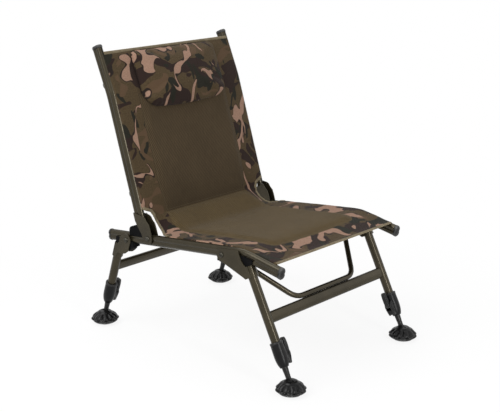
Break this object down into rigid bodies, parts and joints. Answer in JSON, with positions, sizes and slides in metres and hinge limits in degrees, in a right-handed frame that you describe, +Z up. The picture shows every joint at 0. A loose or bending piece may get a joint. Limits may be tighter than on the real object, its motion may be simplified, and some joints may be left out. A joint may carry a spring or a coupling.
{
  "type": "folding fishing chair",
  "caption": "Low folding chair with a sling seat and back on extruded rails, a headrest pillow, folding leg frames, telescopic legs and swivelling mud feet.",
  "frame": {"origin": "on the ground, midway between the front and rear feet", "axes": "+X to the sitter's left, the sitter faces -Y, +Z up"},
  "size_m": [0.56, 0.7798, 0.8027],
  "materials": {
    "frame_metal": "satin olive-grey coat",
    "black_plastic": "matt moulded",
    "leg_metal": "satin black coat",
    "bright_steel": "zinc plated",
    "dark_steel": "dark coated",
    "cover_fabric": "woven polyester",
    "camo_fabric": "printed polyester"
  },
  "bodies": {
    "seat_frame": {"seat_rail_left": "frame_metal", "seat_rail_right": "frame_metal", "seat_rail_rear_cap_left": "black_plastic", "seat_rail_rear_cap_right": "black_plastic", "seat_rail_front_cap_left": "black_plastic", "seat_rail_front_cap_right": "black_plastic", "hinge_stop_block_left": "black_plastic", "hinge_stop_block_right": "black_plastic", "front_leg_block_left": "black_plastic", "front_leg_block_right": "black_plastic", "rear_leg_block_left": "black_plastic", "rear_leg_block_right": "black_plastic", "front_leg_pivot_bolt_left": "dark_steel", "front_leg_pivot_bolt_right": "dark_steel", "rear_leg_pivot_bolt_left": "dark_steel", "rear_leg_pivot_bolt_right": "dark_steel", "backrest_pivot_bolt_left": "dark_steel", "backrest_pivot_bolt_right": "dark_steel", "seat_cover": "cover_fabric"},
    "backrest": {"back_rail_left": "frame_metal", "back_rail_right": "frame_metal", "back_rail_cap_left": "black_plastic", "back_rail_cap_right": "black_plastic", "outer_hinge_plate_left": "frame_metal", "outer_hinge_plate_right": "frame_metal", "inner_hinge_plate_left": "frame_metal", "inner_hinge_plate_right": "frame_metal", "hinge_clamp_bolt_left": "bright_steel", "hinge_clamp_bolt_right": "bright_steel", "upper_back_bar": "frame_metal", "lower_back_bar": "frame_metal", "back_cover": "cover_fabric", "headrest_pillow": "camo_fabric"},
    "front_leg_frame": {"front_leg_bracket_left": "frame_metal", "front_leg_bracket_right": "frame_metal", "front_leg_tube_left": "frame_metal", "front_leg_tube_right": "frame_metal", "front_cross_brace": "frame_metal", "front_spreader_bar": "frame_metal", "front_clamp_sleeve_left": "black_plastic", "front_clamp_sleeve_right": "black_plastic"},
    "rear_leg_frame": {"rear_leg_bracket_left": "frame_metal", "rear_leg_bracket_right": "frame_metal", "rear_leg_tube_left": "frame_metal", "rear_leg_tube_right": "frame_metal", "rear_cross_brace": "frame_metal", "rear_clamp_sleeve_left": "black_plastic", "rear_clamp_sleeve_right": "black_plastic"},
    "front_left_lever": {"front_cam_lever_left": "black_plastic"},
    "front_right_lever": {"front_cam_lever_right": "black_plastic"},
    "rear_left_lever": {"rear_cam_lever_left": "black_plastic"},
    "rear_right_lever": {"rear_cam_lever_right": "black_plastic"},
    "front_left_inner_leg": {"front_inner_leg_left": "leg_metal"},
    "front_right_inner_leg": {"front_inner_leg_right": "leg_metal"},
    "rear_left_inner_leg": {"rear_inner_leg_left": "leg_metal"},
    "rear_right_inner_leg": {"rear_inner_leg_right": "leg_metal"},
    "front_left_foot": {"front_mud_foot_left": "black_plastic"},
    "front_right_foot": {"front_mud_foot_right": "black_plastic"},
    "rear_left_foot": {"rear_mud_foot_left": "black_plastic"},
    "rear_right_foot": {"rear_mud_foot_right": "black_plastic"}
  },
  "joints": [
    {"name": "backrest_fold", "type": "hinge", "parent": "seat_frame", "child": "backrest", "pos_m": [0, 0.14922, 0.29797], "axis": [1, 0, 0], "range_deg": [0, 92]},
    {"name": "front_leg_fold", "type": "hinge", "parent": "seat_frame", "child": "front_leg_frame", "pos_m": [0, -0.12895, 0.31612], "axis": [1, 0, 0], "range_deg": [0, 107]},
    {"name": "rear_leg_fold", "type": "hinge", "parent": "seat_frame", "child": "rear_leg_frame", "pos_m": [0, 0.23392, 0.2767], "axis": [1, 0, 0], "range_deg": [-108, 0]},
    {"name": "front_left_lever_swing", "type": "hinge", "parent": "front_leg_frame", "child": "front_left_lever", "pos_m": [0.2184, -0.31736, 0.09172], "axis": [0, -0.891, 0.454], "range_deg": [0, 110]},
    {"name": "front_right_lever_swing", "type": "hinge", "parent": "front_leg_frame", "child": "front_right_lever", "pos_m": [-0.2184, -0.31736, 0.09172], "axis": [0, 0.891, -0.454], "range_deg": [0, 110]},
    {"name": "rear_left_lever_swing", "type": "hinge", "parent": "rear_leg_frame", "child": "rear_left_lever", "pos_m": [0.2184, 0.32825, 0.09624], "axis": [0, -0.9505, -0.3107], "range_deg": [0, 110]},
    {"name": "rear_right_lever_swing", "type": "hinge", "parent": "rear_leg_frame", "child": "rear_right_lever", "pos_m": [-0.2184, 0.32825, 0.09624], "axis": [0, 0.9505, 0.3107], "range_deg": [0, 110]},
    {"name": "front_left_leg_slide", "type": "slide", "parent": "front_leg_frame", "child": "front_left_inner_leg", "axis": [0, 0.454, 0.891], "range_m": [-0.085, 0]},
    {"name": "front_right_leg_slide", "type": "slide", "parent": "front_leg_frame", "child": "front_right_inner_leg", "axis": [0, 0.454, 0.891], "range_m": [-0.085, 0]},
    {"name": "rear_left_leg_slide", "type": "slide", "parent": "rear_leg_frame", "child": "rear_left_inner_leg", "axis": [0, -0.3107, 0.9505], "range_m": [-0.085, 0]},
    {"name": "rear_right_leg_slide", "type": "slide", "parent": "rear_leg_frame", "child": "rear_right_inner_leg", "axis": [0, -0.3107, 0.9505], "range_m": [-0.085, 0]},
    {"name": "front_left_foot_tilt", "type": "hinge", "parent": "front_left_inner_leg", "child": "front_left_foot", "pos_m": [0.24, -0.35186, 0.024], "axis": [1, 0, 0], "range_deg": [-15, 15]},
    {"name": "front_right_foot_tilt", "type": "hinge", "parent": "front_right_inner_leg", "child": "front_right_foot", "pos_m": [-0.24, -0.35186, 0.024], "axis": [1, 0, 0], "range_deg": [-15, 15]},
    {"name": "rear_left_foot_tilt", "type": "hinge", "parent": "rear_left_inner_leg", "child": "rear_left_foot", "pos_m": [0.24, 0.35186, 0.024], "axis": [1, 0, 0], "range_deg": [-15, 15]},
    {"name": "rear_right_foot_tilt", "type": "hinge", "parent": "rear_right_inner_leg", "child": "rear_right_foot", "pos_m": [-0.24, 0.35186, 0.024], "axis": [1, 0, 0], "range_deg": [-15, 15]}
  ]
}
